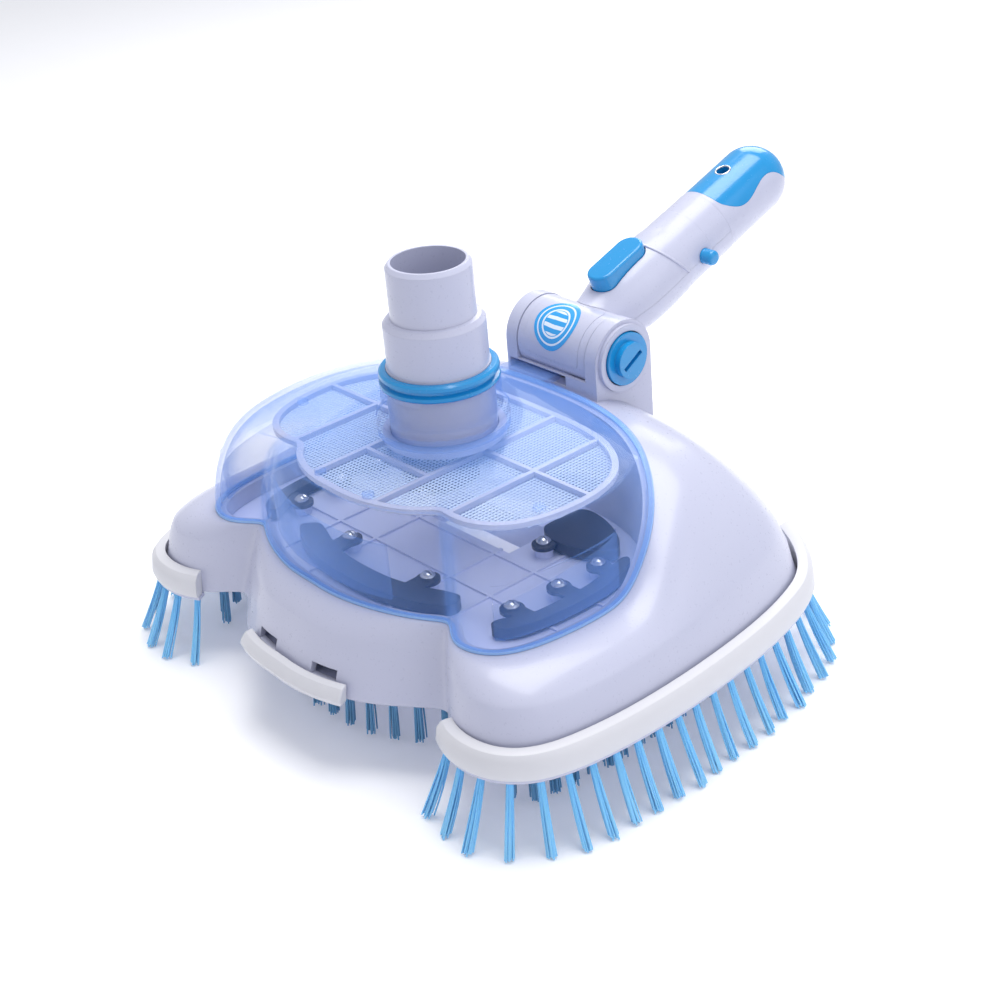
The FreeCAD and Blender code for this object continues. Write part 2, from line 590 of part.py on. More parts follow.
def build():
    parts["top_shell"] = make_top_shell().fuse(make_bracket())
    parts["lid_gasket"] = make_gasket()
    parts["base_plate"] = make_base_plate()
    parts["underside_frame"] = make_underside_frame()

    right = make_bumper(WING, BUMPER_H)
    parts["right_bumper"] = right
    parts["left_bumper"] = mirror_x(right)
    parts["front_bumper"] = make_bumper(NOSE, NOSE_BUMPER_H)

    outer = make_backing(SKIRT, WING, 1.4, 4.4, SKIRT_Z - 0.6)
    parts["right_brush_backing"] = outer
    parts["left_brush_backing"] = mirror_x(outer)
    root = SKIRT_Z - 2.25
    tufts = make_tufts(SKIRT, (WING[0] + 0.15, WING[1] - 0.1), 1.4, 23, TUFT_SPLAY, 0.0, root)
    parts["right_outer_bristles"] = tufts
    parts["left_outer_bristles"] = mirror_x(tufts)
    inner_half = inset_half(SKIRT, 21.0)
    strip = make_backing(inner_half, (6.6, 16.0), 0.0, 4.0, SKIRT_Z + 0.9)
    parts["right_inner_backing"] = strip
    parts["left_inner_backing"] = mirror_x(strip)
    inner = make_tufts(inner_half, (6.7, 15.9), 0.0, 18, 2.0, 1.5, SKIRT_Z - 0.75)
    parts["right_inner_bristles"] = inner
    parts["left_inner_bristles"] = mirror_x(inner)
    nose_half = inset_half(SKIRT, 19.0)
    parts["front_inner_backing"] = make_backing(nose_half, (-3.6, 3.6), 0.0, 4.0, SKIRT_Z + 0.9)
    parts["front_inner_bristles"] = make_tufts(nose_half, (-3.5, 3.5), 0.0, 11, 2.0, 1.5, SKIRT_Z - 0.75)

    parts["clear_lid"] = make_lid()
    frame, mesh, posts = make_strainer()
    parts["strainer_frame"] = frame
    parts["strainer_mesh"] = mesh
    parts["strainer_posts"] = Part.makeCompound(posts)

    nose, side, rear = make_weights()
    parts["front_weight"] = nose
    parts["right_side_weight"] = side
    parts["left_side_weight"] = mirror_x(side)
    parts["right_rear_weight"] = rear
    parts["left_rear_weight"] = mirror_x(rear)
    parts["weight_screws"] = make_screws(SCREW_PLACES, FLOOR_Z + 5.1)

    parts["hose_cuff"] = make_cuff()
    parts["swivel_ring"] = make_swivel_ring()
    parts["cuff_retainer"] = make_retainer()

    knob = make_knob()
    parts["right_hinge_knob"] = knob
    parts["left_hinge_knob"] = mirror_x(knob)
    parts["hinge_drum"] = make_drum()
    parts["hinge_badge"] = make_badge()

    upper, lower, cap = make_handle()
    parts["handle_upper_shell"] = tilt(upper)
    parts["handle_lower_shell"] = tilt(lower)
    parts["handle_end_cap"] = tilt(cap)
    parts["release_button"] = tilt(make_button())
    pin = tilt(make_snap_pin())
    parts["right_snap_pin"] = pin
    parts["left_snap_pin"] = mirror_x(pin)
    parts["pin_spring"] = tilt(make_pin_spring())


def write():
    os.makedirs("parts", exist_ok=True)
    box_of_all = Part.makeCompound(list(parts.values())).BoundBox
    shift = V(0, -(box_of_all.YMin + box_of_all.YMax) / 2, 0)
    for name, shape in parts.items():
        placed = shape.copy()
        placed.translate(shift)
        placed.exportStep("parts/" + name + ".step")


build()
write()
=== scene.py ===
"""Looks for the pool vacuum head: finishes, bristles, strainer net, trim, floor, lights and camera."""
import json
import math
import random

import bpy
import bmesh
from mathutils import Matrix, Vector

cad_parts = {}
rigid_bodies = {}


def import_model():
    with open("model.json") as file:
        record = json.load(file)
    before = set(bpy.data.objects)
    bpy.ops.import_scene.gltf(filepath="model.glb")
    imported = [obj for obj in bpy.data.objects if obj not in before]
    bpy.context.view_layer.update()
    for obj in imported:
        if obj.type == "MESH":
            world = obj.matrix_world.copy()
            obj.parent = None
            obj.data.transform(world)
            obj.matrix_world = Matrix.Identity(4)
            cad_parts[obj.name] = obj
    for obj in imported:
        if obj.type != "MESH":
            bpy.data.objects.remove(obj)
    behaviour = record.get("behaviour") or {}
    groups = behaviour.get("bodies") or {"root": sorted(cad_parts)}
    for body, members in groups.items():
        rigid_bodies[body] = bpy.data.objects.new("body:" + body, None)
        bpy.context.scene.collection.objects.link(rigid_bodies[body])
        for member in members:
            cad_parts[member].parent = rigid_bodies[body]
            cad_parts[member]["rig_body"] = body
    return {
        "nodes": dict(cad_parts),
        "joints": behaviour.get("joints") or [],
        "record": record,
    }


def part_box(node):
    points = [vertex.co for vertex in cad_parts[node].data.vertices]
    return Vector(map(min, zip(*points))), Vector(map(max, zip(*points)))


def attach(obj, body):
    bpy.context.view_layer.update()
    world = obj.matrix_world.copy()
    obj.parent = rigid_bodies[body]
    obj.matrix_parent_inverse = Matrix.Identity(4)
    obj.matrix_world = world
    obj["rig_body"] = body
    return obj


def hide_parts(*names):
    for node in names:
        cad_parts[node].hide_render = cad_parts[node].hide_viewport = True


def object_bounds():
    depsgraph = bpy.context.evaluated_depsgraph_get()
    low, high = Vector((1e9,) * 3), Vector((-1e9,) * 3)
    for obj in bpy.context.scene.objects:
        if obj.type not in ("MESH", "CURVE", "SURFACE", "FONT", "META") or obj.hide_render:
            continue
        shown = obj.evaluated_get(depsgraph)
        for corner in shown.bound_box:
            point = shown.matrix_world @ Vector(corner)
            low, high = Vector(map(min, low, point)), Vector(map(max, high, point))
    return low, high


MM = 0.001
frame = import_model()
cad_low, cad_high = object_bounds()
bpy.ops.object.select_all(action="DESELECT")
nodes = frame["nodes"]
slots = {part["node"]: part["material_slot"] for part in frame["record"]["subparts"]}
rng = random.Random(7)


# ---- finishes ------------------------------------------------------------------------------
DRIFT_SCALE = 22.0
DUST_SCALE = 900.0
DUST_STARTS = 0.62
DUST_FULL = 0.75
GRAIN_DEPTH = 0.2
COAT_ROUGHNESS = 0.08
# Where a colour mix node keeps its two colours and its result.
MIX_FIRST = 6
MIX_SECOND = 7
MIX_RESULT = 2


def build_skin_group():
    """Fine moulding grain, broad drift of tone and specks of dust, shared by every finish."""
    tree = bpy.data.node_groups.new("moulded_skin", "ShaderNodeTree")
    tree.interface.new_socket(name="Grain size", in_out="INPUT", socket_type="NodeSocketFloat")
    for name in ("Grain", "Drift", "Dust"):
        tree.interface.new_socket(name=name, in_out="OUTPUT", socket_type="NodeSocketFloat")
    start = tree.nodes.new("NodeGroupInput")
    end = tree.nodes.new("NodeGroupOutput")
    place = tree.nodes.new("ShaderNodeTexCoord")
    link = tree.links.new

    def noise(detail):
        texture = tree.nodes.new("ShaderNodeTexNoise")
        texture.inputs["Detail"].default_value = detail
        link(place.outputs["Object"], texture.inputs["Vector"])
        return texture

    grain = noise(4.0)
    link(start.outputs["Grain size"], grain.inputs["Scale"])
    link(grain.outputs["Fac"], end.inputs["Grain"])
    drift = noise(2.0)
    drift.inputs["Scale"].default_value = DRIFT_SCALE
    link(drift.outputs["Fac"], end.inputs["Drift"])
    dust = noise(1.0)
    dust.inputs["Scale"].default_value = DUST_SCALE
    speck = tree.nodes.new("ShaderNodeMapRange")
    speck.inputs["From Min"].default_value = DUST_STARTS
    speck.inputs["From Max"].default_value = DUST_FULL
    link(dust.outputs["Fac"], speck.inputs["Value"])
    link(speck.outputs["Result"], end.inputs["Dust"])
    return tree


skin_group = build_skin_group()


class Finish:
    """A material whose colour, gloss and surface vary a little over the piece.

    The colour drifts between tone and shade, and the roughness between the two numbers of gloss. Grain is
    the fineness of the surface, relief its strength, and soften the radius of its edges in millimetres.
    """

    def __init__(self, name, tone, shade, gloss, grain, relief, soften, metallic=0.0, coat=0.0):
        self.material = bpy.data.materials.new(name)
        self.material.use_nodes = True
        self.tree = self.material.node_tree
        self.shader = self.tree.nodes["Principled BSDF"]
        self.shader.inputs["Metallic"].default_value = metallic
        self.shader.inputs["Coat Weight"].default_value = coat
        self.shader.inputs["Coat Roughness"].default_value = COAT_ROUGHNESS
        self.skin = self.add("ShaderNodeGroup")
        self.skin.node_tree = skin_group
        self.skin.inputs["Grain size"].default_value = grain
        self.colour = self.mix(tone, shade, self.skin.outputs["Drift"])
        self.recolour(self.colour)
        rough = self.remap(self.skin.outputs["Grain"], 0.3, 0.7, gloss[0], gloss[1])
        self.join(rough, self.shader.inputs["Roughness"])
        bump = self.add("ShaderNodeBump")
        bump.inputs["Strength"].default_value = relief
        bump.inputs["Distance"].default_value = GRAIN_DEPTH * MM
        self.join(self.skin.outputs["Grain"], bump.inputs["Height"])
        if soften:
            edge = self.add("ShaderNodeBevel")
            edge.samples = 4
            edge.inputs["Radius"].default_value = soften * MM
            self.join(edge.outputs["Normal"], bump.inputs["Normal"])
        self.join(bump.outputs["Normal"], self.shader.inputs["Normal"])

    def add(self, kind):
        return self.tree.nodes.new(kind)

    def join(self, output, socket):
        self.tree.links.new(output, socket)

    def mix(self, first, second, factor):
        """A colour between two, each given as a colour or as another node's output."""
        blend = self.add("ShaderNodeMix")
        blend.data_type = "RGBA"
        for value, number in ((first, MIX_FIRST), (second, MIX_SECOND)):
            if isinstance(value, bpy.types.NodeSocket):
                self.join(value, blend.inputs[number])
            else:
                blend.inputs[number].default_value = (*value, 1.0)
        self.join(factor, blend.inputs[0])
        return blend.outputs[MIX_RESULT]

    def maths(self, operation, *values):
        """The result of an operation on values, each given as a number or as another node's output."""
        node = self.add("ShaderNodeMath")
        node.operation = operation
        for number, value in enumerate(values):
            if isinstance(value, bpy.types.NodeSocket):
                self.join(value, node.inputs[number])
            else:
                node.inputs[number].default_value = value
        return node.outputs["Value"]

    def remap(self, value, low, high, to_low=0.0, to_high=1.0):
        """The value with its range from low to high stretched to another range."""
        node = self.add("ShaderNodeMapRange")
        node.inputs["From Min"].default_value = low
        node.inputs["From Max"].default_value = high
        node.inputs["To Min"].default_value = to_low
        node.inputs["To Max"].default_value = to_high
        self.join(value, node.inputs["Value"])
        return node.outputs["Result"]

    def height(self):
        """Height above the floor, in metres."""
        place = self.add("ShaderNodeTexCoord")
        split = self.add("ShaderNodeSeparateXYZ")
        self.join(place.outputs["Object"], split.inputs["Vector"])
        return split.outputs["Z"]

    def recolour(self, colour):
        self.join(colour, self.shader.inputs["Base Color"])


def white_shell_finish():
    finish = Finish("white_shell", (0.57, 0.585, 0.72), (0.54, 0.555, 0.70), gloss=(0.26, 0.38),
                    grain=900.0, relief=0.012, soften=0.45, coat=0.2)
    finish.recolour(finish.mix(finish.colour, (0.55, 0.565, 0.70), finish.skin.outputs["Dust"]))
    return finish.material


def bumper_finish():
    """Softer, more neutral white for the rails along the foot."""
    return Finish("bumper_white", (0.72, 0.72, 0.75), (0.68, 0.68, 0.72), gloss=(0.34, 0.46),
                  grain=900.0, relief=0.02, soften=0.4).material


def chamber_finish():
    return Finish("chamber_shell", (0.72, 0.76, 1.0), (0.66, 0.71, 0.97), gloss=(0.35, 0.5),
                  grain=700.0, relief=0.04, soften=0.3).material


def blue_finish():
    return Finish("blue_gloss", (0.008, 0.27, 0.62), (0.012, 0.32, 0.69), gloss=(0.16, 0.28),
                  grain=800.0, relief=0.02, soften=0.4, coat=0.4).material


LID_RIM_HEIGHT = 60.0
LID_CROWN_HEIGHT = 82.0
LID_RIM_COVER = 0.11
LID_CROWN_COVER = 0.025
LID_TURNED_COVER = 0.65


def clear_lid_finish():
    """Tinted clear plastic: faint face on, and a deeper blue where it turns away and down at its rim."""
    finish = Finish("clear_lid_plastic", (0.20, 0.42, 0.97), (0.16, 0.37, 0.94), gloss=(0.03, 0.07),
                    grain=300.0, relief=0.01, soften=0.0)
    facing = finish.add("ShaderNodeLayerWeight")
    facing.inputs["Blend"].default_value = 0.45
    turned = finish.maths("POWER", facing.outputs["Facing"], 1.8)
    rim = finish.remap(finish.height(), LID_RIM_HEIGHT * MM, LID_CROWN_HEIGHT * MM,
                       LID_RIM_COVER, LID_CROWN_COVER)
    cover = finish.maths("MULTIPLY_ADD", turned, LID_TURNED_COVER, rim)
    finish.join(cover, finish.shader.inputs["Alpha"])
    finish.shader.inputs["Specular IOR Level"].default_value = 0.55
    return finish.material


BRISTLE_ROOT_HEIGHT = 27.0


def bristle_finish(name, root, tip):
    """Nylon filament, paler towards the tips."""
    finish = Finish(name, root, tip, gloss=(0.32, 0.45), grain=1500.0, relief=0.05, soften=0.0)
    along = finish.remap(finish.height(), 0.0, BRISTLE_ROOT_HEIGHT * MM, 1.0, 0.0)
    streak = finish.mix(root, tip, along)
    finish.recolour(finish.mix(streak, finish.colour, finish.skin.outputs["Grain"]))
    finish.shader.inputs["Subsurface Weight"].default_value = 0.15
    finish.shader.inputs["Subsurface Radius"].default_value = (0.001, 0.002, 0.004)
    return finish.material


def casting_finish():
    return Finish("coated_casting", (0.010, 0.016, 0.042), (0.022, 0.032, 0.07), gloss=(0.30, 0.5),
                  grain=1300.0, relief=0.35, soften=0.4, coat=0.2).material


def steel_finish(name, gloss, grain):
    return Finish(name, (0.74, 0.75, 0.78), (0.60, 0.61, 0.66), gloss, grain, relief=0.05, soften=0.2,
                  metallic=1.0).material


def net_finish():
    return Finish("woven_net", (0.70, 0.80, 0.94), (0.62, 0.73, 0.90), gloss=(0.4, 0.6),
                  grain=2000.0, relief=0.1, soften=0.0).material


def seal_finish():
    return Finish("silicone_seal", (0.30, 0.52, 0.90), (0.36, 0.58, 0.93), gloss=(0.3, 0.45),
                  grain=900.0, relief=0.05, soften=0.2).material


BADGE_TILT = 42.0
BADGE_R = 9.5
BADGE_FIELD_R = 5.4
BADGE_BLUE = (0.03, 0.36, 0.78, 1)
BADGE_PALE = (0.78, 0.86, 0.95, 1)
BADGE_RINGS = ((0.60, BADGE_PALE), (0.68, BADGE_BLUE), (0.86, BADGE_PALE), (0.93, BADGE_BLUE))


def badge_place(finish):
    """The place on the sticker, measured from its centre in its own plane."""
    low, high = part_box("hinge_badge")
    place = finish.add("ShaderNodeTexCoord")
    turn = finish.add("ShaderNodeMapping")
    turn.vector_type = "TEXTURE"
    turn.inputs["Location"].default_value = (low + high) / 2
    turn.inputs["Rotation"].default_value = (math.radians(BADGE_TILT), 0, 0)
    finish.join(place.outputs["Object"], turn.inputs["Vector"])
    split = finish.add("ShaderNodeSeparateXYZ")
    finish.join(turn.outputs["Vector"], split.inputs["Vector"])
    flat = finish.add("ShaderNodeCombineXYZ")
    finish.join(split.outputs["X"], flat.inputs["X"])
    finish.join(split.outputs["Y"], flat.inputs["Y"])
    return flat.outputs["Vector"]


def badge_finish():
    """A plain roundel: two pale rings and soft wavy bands on blue, with no lettering."""
    finish = Finish("roundel_film", (0.05, 0.38, 0.78), (0.04, 0.33, 0.72), gloss=(0.18, 0.26),
                    grain=700.0, relief=0.02, soften=0.0, coat=0.3)
    place = badge_place(finish)
    reach = finish.add("ShaderNodeVectorMath")
    reach.operation = "LENGTH"
    finish.join(place, reach.inputs[0])
    rings = finish.add("ShaderNodeValToRGB")
    rings.color_ramp.interpolation = "CONSTANT"
    rings.color_ramp.elements[0].color = BADGE_BLUE
    for start, shade in BADGE_RINGS:
        rings.color_ramp.elements.new(start).color = shade
    rings.color_ramp.elements.remove(rings.color_ramp.elements[-1])
    finish.join(finish.remap(reach.outputs["Value"], 0.0, BADGE_R * MM), rings.inputs["Fac"])
    waves = finish.add("ShaderNodeTexWave")
    waves.bands_direction = "Y"
    waves.inputs["Scale"].default_value = 95.0
    waves.inputs["Distortion"].default_value = 1.5
    finish.join(place, waves.inputs["Vector"])
    inside = finish.maths("LESS_THAN", reach.outputs["Value"], BADGE_FIELD_R * MM)
    bands = finish.maths("MULTIPLY", inside, finish.remap(waves.outputs["Fac"], 0.55, 0.62))
    finish.recolour(finish.mix(rings.outputs["Color"], (0.80, 0.88, 0.96), bands))
    return finish.material


finishes = {
    "white_abs": white_shell_finish(),
    "lavender_abs": chamber_finish(),
    "blue_plastic": blue_finish(),
    "clear_blue": clear_lid_finish(),
    "bristle_blue": bristle_finish("blue_filament", (0.13, 0.53, 1.0), (0.34, 0.72, 1.0)),
    # Inner rows: the same blue nylon painted darker, as painted shade for the shade they stand in under the
    # shell.
    "bristle_dark": bristle_finish("inner_filament_painted_shade", (0.08, 0.27, 0.48), (0.18, 0.42, 0.66)),
    "soft_seal": seal_finish(),
    "weight_coat": casting_finish(),
    "screw_steel": steel_finish("polished_screw", (0.12, 0.25), 700.0),
    "mesh_nylon": net_finish(),
    "spring_steel": steel_finish("spring_strip", (0.25, 0.4), 400.0),
    "badge_film": badge_finish(),
}


# ---- making pieces -------------------------------------------------------------------------
WELD_REACH = 0.01
CORNER_ANGLE = 32.0


def only(piece):
    bpy.ops.object.select_all(action="DESELECT")
    piece.select_set(True)
    bpy.context.view_layer.objects.active = piece


def edit_all(piece):
    """Enter edit mode on one piece, with all of it selected."""
    only(piece)
    bpy.ops.object.mode_set(mode="EDIT")
    bpy.ops.mesh.select_all(action="SELECT")


def face_outwards(piece):
    edit_all(piece)
    bpy.ops.mesh.normals_make_consistent(inside=False)
    bpy.ops.object.mode_set(mode="OBJECT")


def smooth_by_angle(angle):
    """Shade the active piece smooth, apart from corners sharper than the angle."""
    bpy.ops.object.shade_smooth_by_angle(angle=math.radians(angle))


def copy_of(node, name):
    """A loose copy of a part with its triangles welded together."""
    piece = bpy.data.objects.new(name, nodes[node].data.copy())
    bpy.context.scene.collection.objects.link(piece)
    edit_all(piece)
    bpy.ops.mesh.remove_doubles(threshold=WELD_REACH * MM)
    bpy.ops.mesh.customdata_custom_splitnormals_clear()
    bpy.ops.object.mode_set(mode="OBJECT")
    return piece


def settle(piece, body, slot_name):
    """Give a piece its finish, and the body that it moves with."""
    piece.data.materials.clear()
    piece.data.materials.append(finishes[slot_name])
    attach(piece, body)


def smooth_part(node):
    """The part with continuous shading over its curves and crisp lines at its corners."""
    piece = copy_of(node, node + "_moulding")
    smooth_by_angle(CORNER_ANGLE)
    settle(piece, nodes[node]["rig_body"], slots[node])
    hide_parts(node)
    return piece


# ---- rails along the foot ------------------------------------------------------------------
RAIL_H = 9.5
RAIL_END_R = 1.2
FIN_RUN = 26.0
FIN_RISE = 9.0
FIN_FLARE = 1.6
FIN_CURVE = 2.2
FIN_SIDES = {"right_bumper": 1, "left_bumper": -1}


def raise_fin(piece, side):
    """Sweep the back end of a side rail up and outwards into a fin."""
    back = max(vert.co.y for vert in piece.data.vertices)
    foot = min(vert.co.z for vert in piece.data.vertices)
    for vert in piece.data.vertices:
        share = max(0.0, 1.0 - (back - vert.co.y) / (FIN_RUN * MM))
        lift = share ** FIN_CURVE * max(0.0, (vert.co.z - foot) / (RAIL_H * MM))
        vert.co.z += FIN_RISE * MM * lift
        vert.co.x += side * FIN_FLARE * MM * share ** 2 * lift ** 0.5


def round_ends(piece):
    """Soften the square-cut ends of a rail."""
    edit_all(piece)
    bpy.ops.mesh.dissolve_limited(angle_limit=math.radians(0.4))
    bpy.ops.object.mode_set(mode="OBJECT")
    rim = piece.modifiers.new("ends", "BEVEL")
    rim.width = RAIL_END_R * MM
    rim.segments = 4
    rim.angle_limit = math.radians(75)
    bpy.ops.object.modifier_apply(modifier="ends")
    smooth_by_angle(CORNER_ANGLE)


# ---- bristles ------------------------------------------------------------------------------
FILAMENT_STEPS = 5
FILAMENT_R = 0.42
TIP_THINNING = 0.25
TUFT_END_BAND = 0.2
TUFT_ROOT_R = 1.0
TUFT_WILD = 0.45
TUFT_SWEEP = (-0.10, 0.14)
BOW_LIFT = 0.6
BOW_LEAN = 0.07
BOW_WILD = 0.4
GOLDEN_ANGLE = 2.39996


def model_filament():
    """One straight upright filament of unit length, cut square, with rings where it can bend."""
    bpy.ops.object.select_all(action="DESELECT")
    bpy.ops.mesh.primitive_cylinder_add(vertices=5, radius=FILAMENT_R * MM, depth=1.0, location=(0, 0, 0.5),
                                        end_fill_type="TRIFAN")
    piece = bpy.context.object
    piece.name = "filament"
    bpy.ops.object.transform_apply(location=True, rotation=False, scale=False)
    bpy.ops.object.mode_set(mode="EDIT")
    for step in range(1, FILAMENT_STEPS):
        bpy.ops.mesh.select_all(action="SELECT")
        bpy.ops.mesh.bisect(plane_co=(0, 0, step / FILAMENT_STEPS), plane_no=(0, 0, 1))
    bpy.ops.object.mode_set(mode="OBJECT")
    mesh = piece.data
    bpy.data.objects.remove(piece)
    return mesh


def filament_points(mesh, root, tip, bow, turn):
    """Points of the filament laid from root to tip, bowed sideways in the middle and thinner at the tip."""
    run = tip - root
    down = run.normalized()
    side = down.orthogonal().normalized()
    side.rotate(Matrix.Rotation(turn, 3, down))
    across = down.cross(side)
    points = []
    for vert in mesh.vertices:
        t = vert.co.z
        thin = 1.0 - TIP_THINNING * t
        centre = root + run * t + bow * (4 * t * (1 - t))
        points.append(centre + side * (vert.co.x * thin) + across * (vert.co.y * thin))
    return points


def loose_pieces(node):
    """The separate solids of a part, each as a list of points."""
    mesh = bmesh.new()
    mesh.from_mesh(nodes[node].data)
    bmesh.ops.remove_doubles(mesh, verts=mesh.verts, dist=WELD_REACH * MM)
    found = []
    seen = set()
    for vert in mesh.verts:
        if vert in seen:
            continue
        group = []
        queue = [vert]
        seen.add(vert)
        while queue:
            here = queue.pop()
            group.append(here.co.copy())
            for edge in here.link_edges:
                other = edge.other_vert(here)
                if other not in seen:
                    seen.add(other)
                    queue.append(other)
        found.append(group)
    mesh.free()
    return found


def tuft_ends(tuft):
    """The middle of a plain tuft's root, the middle of its tip, and its lowest height."""
    top = max(point.z for point in tuft)
    low = min(point.z for point in tuft)
    upper = [point for point in tuft if point.z > top - TUFT_END_BAND * MM]
    lower = [point for point in tuft if point.z < low + TUFT_END_BAND * MM]
    return sum(upper, Vector()) / len(upper), sum(lower, Vector()) / len(lower), low


def make_brush(row, per_tuft, spread, fray):
    """Bundles of filaments standing where the plain tufts stand, fanned out towards their tips."""
    node = row + "_bristles"
    pattern = model_filament()
    faces = [tuple(face.vertices) for face in pattern.polygons]
    points = []
    polygons = []
    for tuft in loose_pieces(node):
        root, tip, low = tuft_ends(tuft)
        lean = Vector((tip.x - root.x, tip.y - root.y, 0))
        sweep = lean * rng.uniform(*TUFT_SWEEP)
        for number in range(per_tuft):
            angle = number * GOLDEN_ANGLE
            reach = math.sqrt((number + 0.5) / per_tuft)
            aside = Vector((math.cos(angle), math.sin(angle), 0))
            start = root + aside * (TUFT_ROOT_R * MM * reach)
            wild = Vector((rng.uniform(-1, 1), rng.uniform(-1, 1), 0)) * (TUFT_WILD * MM)
            end = tip + aside * (spread * MM * reach) + sweep + wild
            end.z = max(cad_low.z, low + rng.uniform(0.0, fray) * MM)
            bow = Vector((0, 0, BOW_LIFT * MM)) - lean * BOW_LEAN + wild * BOW_WILD
            first = len(points)
            points += filament_points(pattern, start, end, bow, rng.uniform(0, math.pi))
            polygons += [tuple(first + corner for corner in face) for face in faces]
    for point in points:
        point.x = min(max(point.x, cad_low.x), cad_high.x)
        point.y = min(max(point.y, cad_low.y), cad_high.y)
        point.z = max(point.z, cad_low.z)
    name = row + "_brush"
    mesh = bpy.data.meshes.new(name)
    mesh.from_pydata(points, [], polygons)
    piece = bpy.data.objects.new(name, mesh)
    bpy.context.scene.collection.objects.link(piece)
    face_outwards(piece)
    smooth_by_angle(80.0)
    settle(piece, nodes[node]["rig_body"], slots[node])
    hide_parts(node)


# ---- strainer net --------------------------------------------------------------------------
NET_PITCH = 1.6
NET_THREAD = 0.62


def make_net():
    """A square-woven net in the outline of the strainer's sheet."""
    low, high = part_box("strainer_mesh")
    size = high - low
    centre = (low + high) / 2
    bpy.ops.object.select_all(action="DESELECT")
    bpy.ops.mesh.primitive_grid_add(x_subdivisions=int(size.x / (NET_PITCH * MM)),
                                    y_subdivisions=int(size.y / (NET_PITCH * MM)),
                                    size=1.0, location=(0, 0, 0))
    piece = bpy.context.object
    piece.name = "strainer_net"
    piece.data.transform(Matrix.Translation(centre) @ Matrix.Diagonal((size.x, size.y, 1.0, 1.0)))
    sheet = nodes["strainer_mesh"]
    mesh = bmesh.new()
    mesh.from_mesh(piece.data)
    outside = []
    for face in mesh.faces:
        middle = face.calc_center_median()
        above = Vector((middle.x, middle.y, high.z + 10 * MM))
        if not sheet.ray_cast(above, Vector((0, 0, -1)))[0]:
            outside.append(face)
    bmesh.ops.delete(mesh, geom=outside, context="FACES")
    mesh.to_mesh(piece.data)
    mesh.free()
    wire = piece.modifiers.new("threads", "WIREFRAME")
    wire.thickness = NET_THREAD * MM
    wire.use_boundary = True
    only(piece)
    bpy.ops.object.modifier_apply(modifier="threads")
    settle(piece, nodes["strainer_mesh"]["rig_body"], "mesh_nylon")
    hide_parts("strainer_mesh")


# ---- handle trim ---------------------------------------------------------------------------
tilt_joint = next(joint for joint in frame["joints"] if joint["name"] == "handle_tilt")
press_joint = next(joint for joint in frame["joints"] if joint["name"] == "button_press")
PIVOT = Vector(tilt_joint["pos_m"])
HANDLE_UP = -Vector(press_joint["axis"]).normalized()
HANDLE_ALONG = Vector((0, HANDLE_UP.z, -HANDLE_UP.y))
HANDLE_TURN = Matrix((Vector((1, 0, 0)), HANDLE_ALONG, HANDLE_UP)).transposed().to_4x4()
HANDLE_R = 14.8
HANDLE_NOSE_R = 14.4
HANG_AT = 96.5
EYELET_R = 3.0
EYELET_WIRE_R = 0.45
EYELET_SINK = 0.35
RIDGE_AT = 51.5
RIDGE_R = 0.75
RIDGE_PROUD = 0.55
RIDGE_BOW = 7.0
PANEL_HALF = 15.0
PANEL_R = 14.60
PANEL_THICKNESS = 0.26
PANEL_MIDDLE = 44.0
PANEL_SPREAD = 56.0


def on_handle(x, y, z):
    """The move to a place on the handle: across, along and above it, in millimetres from its pivot."""
    return Matrix.Translation(PIVOT) @ HANDLE_TURN @ Matrix.Translation(Vector((x, y, z)) * MM)


def make_eyelet(name, upside):
    """Thin steel eyelet round one mouth of the hanging hole."""
    bpy.ops.object.select_all(action="DESELECT")
    bpy.ops.mesh.primitive_torus_add(major_segments=40, minor_segments=10, major_radius=EYELET_R * MM,
                                     minor_radius=EYELET_WIRE_R * MM)
    piece = bpy.context.object
    piece.name = name
    bpy.ops.object.shade_smooth()
    piece.data.transform(on_handle(0, HANG_AT, upside * (HANDLE_NOSE_R - EYELET_SINK)))
    settle(piece, "handle", "screw_steel")


def make_grip_ridge():
    """Raised arc moulded across the handle where the pole stops."""
    bpy.ops.object.select_all(action="DESELECT")
    bpy.ops.mesh.primitive_torus_add(major_segments=72, minor_segments=8,
                                     major_radius=(HANDLE_R + RIDGE_PROUD) * MM, minor_radius=RIDGE_R * MM)
    piece = bpy.context.object
    piece.name = "grip_ridge"
    edit_all(piece)
    bpy.ops.mesh.bisect(plane_co=(0, 0, 0), plane_no=(0, 1, 0), clear_outer=True, use_fill=True)
    bpy.ops.object.mode_set(mode="OBJECT")
    for vert in piece.data.vertices:
        vert.co.z += vert.co.y / (HANDLE_R * MM) * RIDGE_BOW * MM
    bpy.ops.object.shade_smooth()
    stand = Matrix.Rotation(math.radians(-90), 4, "X")
    piece.data.transform(on_handle(0, RIDGE_AT, 0) @ stand)
    face_outwards(piece)
    settle(piece, "handle", "white_abs")


def make_drum_panel():
    """Raised panel that wraps the front and top of the drum, under the sticker."""
    bpy.ops.object.select_all(action="DESELECT")
    bpy.ops.mesh.primitive_grid_add(x_subdivisions=30, y_subdivisions=60, size=1.0)
    piece = bpy.context.object
    piece.name = "drum_panel"
    for vert in piece.data.vertices:
        across = vert.co.x * 2
        around = vert.co.y * 2
        turn = math.radians(PANEL_MIDDLE + around * PANEL_SPREAD * (1 - 0.04 * abs(across) ** 8))
        x = across * PANEL_HALF * (1 - 0.05 * abs(around) ** 10)
        vert.co = PIVOT + Vector((x, -PANEL_R * math.cos(turn), PANEL_R * math.sin(turn))) * MM
    only(piece)
    skin = piece.modifiers.new("thickness", "SOLIDIFY")
    skin.thickness = PANEL_THICKNESS * MM
    skin.offset = 1.0
    bpy.ops.object.modifier_apply(modifier="thickness")
    face_outwards(piece)
    smooth_by_angle(40.0)
    settle(piece, "handle", "white_abs")


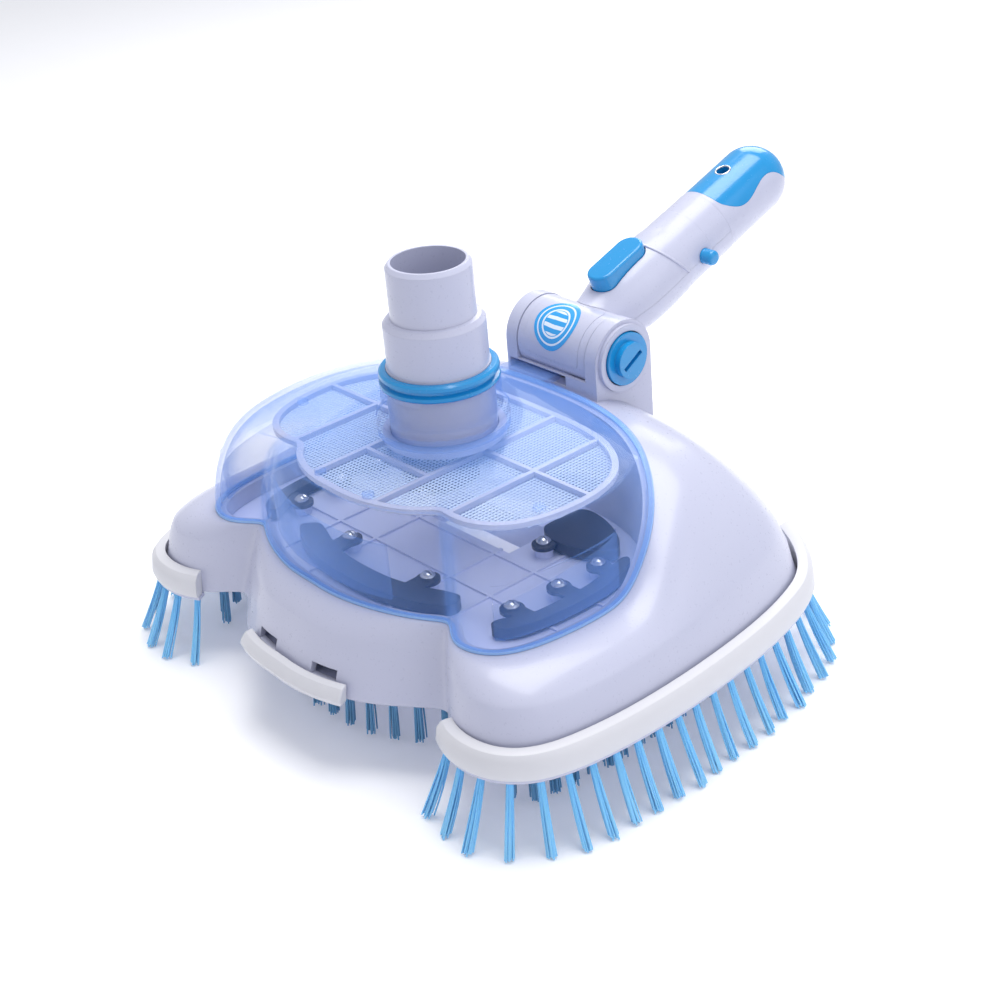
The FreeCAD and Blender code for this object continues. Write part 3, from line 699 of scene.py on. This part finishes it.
# ---- pieces --------------------------------------------------------------------------------
rail_white = bumper_finish()
for node in sorted(nodes):
    if not node.endswith("bristles") and node != "strainer_mesh":
        part = smooth_part(node)
        if node in FIN_SIDES:
            raise_fin(part, FIN_SIDES[node])
        if node.endswith("bumper"):
            round_ends(part)
            part.data.materials[0] = rail_white
for side in ("right", "left"):
    make_brush(side + "_outer", per_tuft=26, spread=1.75, fray=1.7)
    make_brush(side + "_inner", per_tuft=16, spread=2.0, fray=1.5)
make_brush("front_inner", per_tuft=16, spread=2.0, fray=1.5)
make_net()
make_eyelet("hang_eyelet_top", 1)
make_eyelet("hang_eyelet_bottom", -1)
make_grip_ridge()
make_drum_panel()


# ---- stage, light and camera ---------------------------------------------------------------
VIEW_AZIMUTH = math.radians(50.165)
VIEW_ELEVATION = math.radians(28.07)
VIEW_ROLL = math.radians(-5.048)
VIEW_DISTANCE = 0.700
VIEW_AIM = Vector((0.0164, -0.0397, 0.0671))
VIEW_LENS = 66.77
FLOOR_SIZE = 24.0
FLOOR_GAP = 0.2
FLOOR_GLOW = 0.12
ROOM_GLOW = 0.58


def make_floor():
    bpy.ops.object.select_all(action="DESELECT")
    bpy.ops.mesh.primitive_plane_add(size=FLOOR_SIZE, location=(0, 0, cad_low.z - FLOOR_GAP * MM))
    floor = bpy.context.object
    floor.name = "studio_floor"
    paint = Finish("floor_paint", (0.96, 0.96, 0.97), (0.95, 0.95, 0.96), gloss=(0.6, 0.7),
                   grain=60.0, relief=0.0, soften=0.0)
    paint.shader.inputs["Emission Color"].default_value = (1.0, 1.0, 1.0, 1.0)
    paint.shader.inputs["Emission Strength"].default_value = FLOOR_GLOW
    floor.data.materials.append(paint.material)


def area_light(name, place, aim, size, power, colour):
    data = bpy.data.lights.new(name, "AREA")
    data.size = size
    data.energy = power
    data.color = colour
    lamp = bpy.data.objects.new(name, data)
    lamp.location = place
    lamp.rotation_euler = (Vector(aim) - Vector(place)).to_track_quat("-Z", "Y").to_euler()
    bpy.context.scene.collection.objects.link(lamp)


def make_room():
    """Pale light from all round."""
    world = bpy.data.worlds.new("pale_room")
    world.use_nodes = True
    background = world.node_tree.nodes["Background"]
    background.inputs["Color"].default_value = (0.90, 0.92, 1.0, 1.0)
    background.inputs["Strength"].default_value = ROOM_GLOW
    bpy.context.scene.world = world
    bpy.context.scene.view_settings.view_transform = "Standard"


def make_camera():
    back = Vector((math.sin(VIEW_AZIMUTH) * math.cos(VIEW_ELEVATION),
                   -math.cos(VIEW_AZIMUTH) * math.cos(VIEW_ELEVATION), math.sin(VIEW_ELEVATION)))
    level = Vector((math.cos(VIEW_AZIMUTH), math.sin(VIEW_AZIMUTH), 0))
    above = back.cross(level)
    right = level * math.cos(VIEW_ROLL) + above * math.sin(VIEW_ROLL)
    up = above * math.cos(VIEW_ROLL) - level * math.sin(VIEW_ROLL)
    data = bpy.data.cameras.new("studio_camera")
    data.lens = VIEW_LENS
    data.sensor_width = 36.0
    data.clip_start = 0.01
    camera = bpy.data.objects.new("studio_camera", data)
    turn = Matrix((right, up, back)).transposed().to_4x4()
    camera.matrix_world = Matrix.Translation(VIEW_AIM + back * VIEW_DISTANCE) @ turn
    bpy.context.scene.collection.objects.link(camera)
    bpy.context.scene.camera = camera


make_floor()
area_light("key_softbox", place=(-0.05, 0.15, 1.1), aim=(0, 0, 0.05), size=0.7, power=8.5,
           colour=(1.0, 0.99, 0.97))
area_light("fill_softbox", place=(0.95, 0.1, 0.6), aim=(0, 0, 0.05), size=0.9, power=2.2,
           colour=(0.90, 0.92, 1.0))
area_light("rim_softbox", place=(-0.5, 0.8, 0.7), aim=(0, 0, 0.08), size=0.6, power=4.0,
           colour=(0.98, 0.98, 1.0))
make_room()
make_camera()
